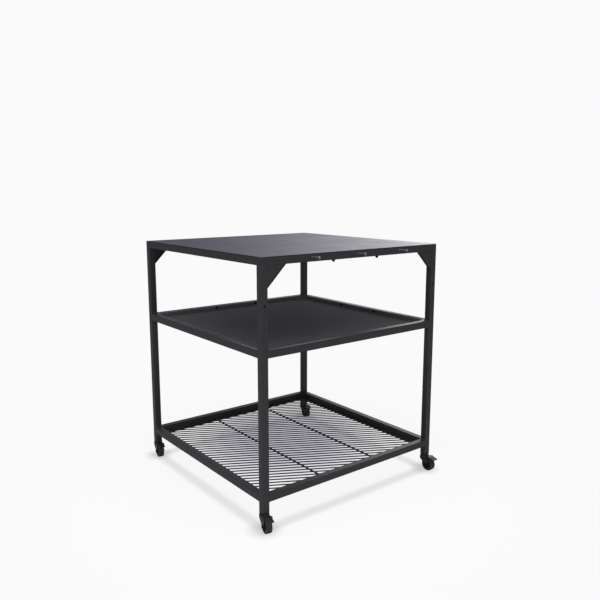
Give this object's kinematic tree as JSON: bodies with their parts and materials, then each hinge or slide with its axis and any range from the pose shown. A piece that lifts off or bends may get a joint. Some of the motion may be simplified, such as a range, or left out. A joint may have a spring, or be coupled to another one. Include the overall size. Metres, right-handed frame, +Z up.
{
  "type": "outdoor pizza oven table",
  "caption": "Square steel tube table on braked swivel casters, with a flat sheet top, a recessed tray shelf, a slanted wire rack and tool pegs, for a countertop oven.",
  "frame": {"origin": "middle of the covered floor, pegs included, at floor level", "axes": "+Z up, -Y to the front with the tool pegs, +X to the right seen from the front"},
  "size_m": [0.8165, 0.8468, 0.895],
  "materials": {
    "frame_paint": "fine textured black powder coat",
    "top_paint": "semi-gloss black powder coat",
    "tray_paint": "satin black powder coat",
    "rack_paint": "black powder coat on drawn wire",
    "grey_steel": "dull turned steel",
    "black_steel": "black oxide with oil",
    "zinc_steel": "bright zinc plate",
    "caster_paint": "black painted pressed steel",
    "black_plastic": "moulded nylon",
    "tyre_rubber": "moulded rubber"
  },
  "bodies": {
    "frame": {"leg_front_left": "frame_paint", "gusset_front_left": "frame_paint", "leg_front_right": "frame_paint", "gusset_front_right": "frame_paint", "leg_back_left": "frame_paint", "gusset_back_left": "frame_paint", "leg_back_right": "frame_paint", "gusset_back_right": "frame_paint", "top_rail_front": "frame_paint", "top_rail_back": "frame_paint", "top_rail_left": "frame_paint", "top_rail_right": "frame_paint", "tray_rail_front": "frame_paint", "tray_rail_back": "frame_paint", "tray_rail_left": "frame_paint", "tray_rail_right": "frame_paint", "base_rail_front": "frame_paint", "base_rail_back": "frame_paint", "base_rail_left": "frame_paint", "base_rail_right": "frame_paint", "tabletop": "top_paint", "tray": "tray_paint", "rack_wires": "rack_paint", "rack_rods": "rack_paint", "rack_ledge_front": "frame_paint", "rack_ledge_back": "frame_paint", "rack_ledge_left": "frame_paint", "rack_ledge_right": "frame_paint", "peg_left": "grey_steel", "peg_middle": "grey_steel", "peg_right": "grey_steel", "tray_bolts": "black_steel", "top_studs": "zinc_steel", "cap_nuts": "black_steel", "leg_plugs": "black_plastic", "caster_stem_front_left": "zinc_steel", "caster_stem_front_right": "zinc_steel", "caster_stem_back_left": "zinc_steel", "caster_stem_back_right": "zinc_steel"},
    "swivel_front_left": {"caster_fork_front_left": "caster_paint", "caster_pins_front_left": "black_steel"},
    "wheel_front_left": {"caster_hub_front_left": "black_plastic", "caster_tyre_front_left": "tyre_rubber"},
    "brake_front_left": {"caster_brake_lever_front_left": "caster_paint"},
    "swivel_front_right": {"caster_fork_front_right": "caster_paint", "caster_pins_front_right": "black_steel"},
    "wheel_front_right": {"caster_hub_front_right": "black_plastic", "caster_tyre_front_right": "tyre_rubber"},
    "brake_front_right": {"caster_brake_lever_front_right": "caster_paint"},
    "swivel_back_left": {"caster_fork_back_left": "caster_paint", "caster_pins_back_left": "black_steel"},
    "wheel_back_left": {"caster_hub_back_left": "black_plastic", "caster_tyre_back_left": "tyre_rubber"},
    "brake_back_left": {"caster_brake_lever_back_left": "caster_paint"},
    "swivel_back_right": {"caster_fork_back_right": "caster_paint", "caster_pins_back_right": "black_steel"},
    "wheel_back_right": {"caster_hub_back_right": "black_plastic", "caster_tyre_back_right": "tyre_rubber"},
    "brake_back_right": {"caster_brake_lever_back_right": "caster_paint"}
  },
  "joints": [
    {"name": "swivel_turn_front_left", "type": "hinge", "parent": "frame", "child": "swivel_front_left", "pos_m": [-0.3875, -0.3685, 0.06], "axis": [0, 0, 1], "continuous": true},
    {"name": "wheel_spin_front_left", "type": "hinge", "parent": "swivel_front_left", "child": "wheel_front_left", "pos_m": [-0.39166, -0.38806, 0.025], "axis": [0.9781, -0.2079, 0], "continuous": true},
    {"name": "brake_press_front_left", "type": "hinge", "parent": "swivel_front_left", "child": "brake_front_left", "pos_m": [-0.39311, -0.39491, 0.054], "axis": [0.9781, -0.2079, 0], "range_deg": [0, 18]},
    {"name": "swivel_turn_front_right", "type": "hinge", "parent": "frame", "child": "swivel_front_right", "pos_m": [0.3875, -0.3685, 0.06], "axis": [0, 0, 1], "continuous": true},
    {"name": "wheel_spin_front_right", "type": "hinge", "parent": "swivel_front_right", "child": "wheel_front_right", "pos_m": [0.38855, -0.38847, 0.025], "axis": [0.9986, 0.0523, 0], "continuous": true},
    {"name": "brake_press_front_right", "type": "hinge", "parent": "swivel_front_right", "child": "brake_front_right", "pos_m": [0.38891, -0.39546, 0.054], "axis": [0.9986, 0.0523, 0], "range_deg": [0, 18]},
    {"name": "swivel_turn_back_left", "type": "hinge", "parent": "frame", "child": "swivel_back_left", "pos_m": [-0.3875, 0.4065, 0.06], "axis": [0, 0, 1], "continuous": true},
    {"name": "wheel_spin_back_left", "type": "hinge", "parent": "swivel_back_left", "child": "wheel_back_left", "pos_m": [-0.39028, 0.3867, 0.025], "axis": [0.9903, -0.1392, 0], "continuous": true},
    {"name": "brake_press_back_left", "type": "hinge", "parent": "swivel_back_left", "child": "brake_back_left", "pos_m": [-0.39126, 0.37976, 0.054], "axis": [0.9903, -0.1392, 0], "range_deg": [0, 18]},
    {"name": "swivel_turn_back_right", "type": "hinge", "parent": "frame", "child": "swivel_back_right", "pos_m": [0.3875, 0.4065, 0.06], "axis": [0, 0, 1], "continuous": true},
    {"name": "wheel_spin_back_right", "type": "hinge", "parent": "swivel_back_right", "child": "wheel_back_right", "pos_m": [0.38472, 0.3867, 0.025], "axis": [0.9903, -0.1392, 0], "continuous": true},
    {"name": "brake_press_back_right", "type": "hinge", "parent": "swivel_back_right", "child": "brake_back_right", "pos_m": [0.38374, 0.37976, 0.054], "axis": [0.9903, -0.1392, 0], "range_deg": [0, 18]}
  ]
}
